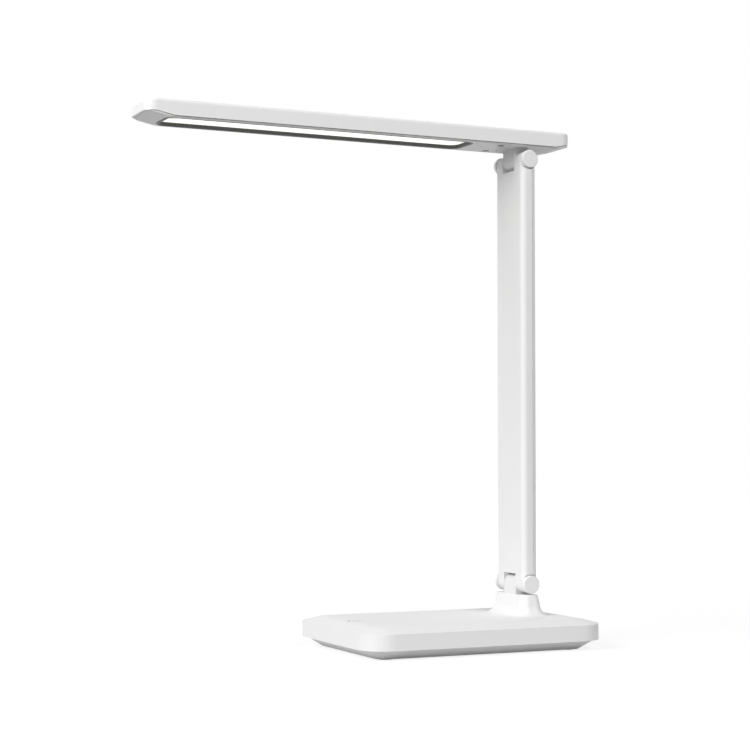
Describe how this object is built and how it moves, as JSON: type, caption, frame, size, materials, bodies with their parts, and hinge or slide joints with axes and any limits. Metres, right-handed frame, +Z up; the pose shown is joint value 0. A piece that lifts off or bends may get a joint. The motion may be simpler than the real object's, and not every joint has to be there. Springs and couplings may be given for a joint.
{
  "type": "desk lamp",
  "caption": "Folding desk lamp with a flat weighted base, a flat upright arm and a slim swivelling light bar; arm and head fold down over the base.",
  "frame": {"origin": "on the table, under the middle of the base", "axes": "+Z up; +X from the middle of the base towards the arm; the head reaches towards -X, where the user sits; the lamp is the same on both sides of Y = 0"},
  "size_m": [0.3405, 0.1354, 0.3894],
  "materials": {
    "white_plastic": "satin white moulded plastic",
    "white_cast": "white coated casting",
    "diffuser_opal": "opal, lit from behind",
    "frame_grey": "matt dark grey",
    "mark_grey": "printed dark grey inlay",
    "foot_rubber": "soft matt rubber",
    "dark_plastic": "black moulded plastic",
    "steel": "zinc-plated steel",
    "weight_iron": "rough plate",
    "contact_brass": "plain",
    "board_green": "solder mask",
    "board_aluminium": "white solder mask on an aluminium core",
    "spreader_aluminium": "plain sheet",
    "light_source": "yellow phosphor",
    "washer_nylon": "plain",
    "lead_black": "soft sleeve"
  },
  "bodies": {
    "base": {"base_shell": "white_plastic", "base_cover": "white_plastic", "base_feet": "foot_rubber", "base_screws": "steel", "counterweight": "weight_iron", "touch_mark": "mark_grey", "touch_spring": "contact_brass", "touch_board": "board_green", "touch_lead": "lead_black", "control_board": "board_green", "control_parts": "dark_plastic", "board_screws": "steel", "power_inlet": "dark_plastic", "inlet_lead": "lead_black", "neck": "white_plastic", "lower_knuckle": "white_cast", "neck_screws": "steel", "neck_lead": "lead_black", "lower_friction_washers": "washer_nylon"},
    "arm": {"arm_front_shell": "white_plastic", "arm_back_cover": "white_plastic", "arm_spine": "steel", "lower_bracket": "steel", "upper_bracket": "steel", "arm_screws": "steel", "arm_lead": "lead_black", "lower_pin": "steel", "upper_pin": "steel", "lower_nuts": "steel", "upper_nuts": "steel", "lower_spring_washers": "steel", "upper_spring_washers": "steel", "lower_cap_left": "white_plastic", "lower_cap_right": "white_plastic", "upper_cap_left": "white_plastic", "upper_cap_right": "white_plastic"},
    "head_mount": {"upper_knuckle": "white_cast", "swivel_spring": "steel", "swivel_nut": "steel", "swivel_lead": "lead_black", "upper_friction_washers": "washer_nylon"},
    "head": {"head_shell": "white_plastic", "head_cover": "white_plastic", "glare_frame": "frame_grey", "diffuser": "diffuser_opal", "led_board": "board_aluminium", "leds": "light_source", "heat_spreader": "spreader_aluminium", "head_screws": "steel", "head_lead": "lead_black"}
  },
  "joints": [
    {"name": "arm_fold", "type": "hinge", "parent": "base", "child": "arm", "pos_m": [0.058, 0, 0.0464], "axis": [0, -1, 0], "range_deg": [-30, 90]},
    {"name": "head_tilt", "type": "hinge", "parent": "arm", "child": "head_mount", "pos_m": [0.058, 0, 0.3669], "axis": [0, -1, 0], "range_deg": [-50, 90]},
    {"name": "head_swivel", "type": "hinge", "parent": "head_mount", "child": "head", "pos_m": [0.058, 0, 0.3768], "axis": [0, 0, 1], "range_deg": [-90, 90]}
  ]
}
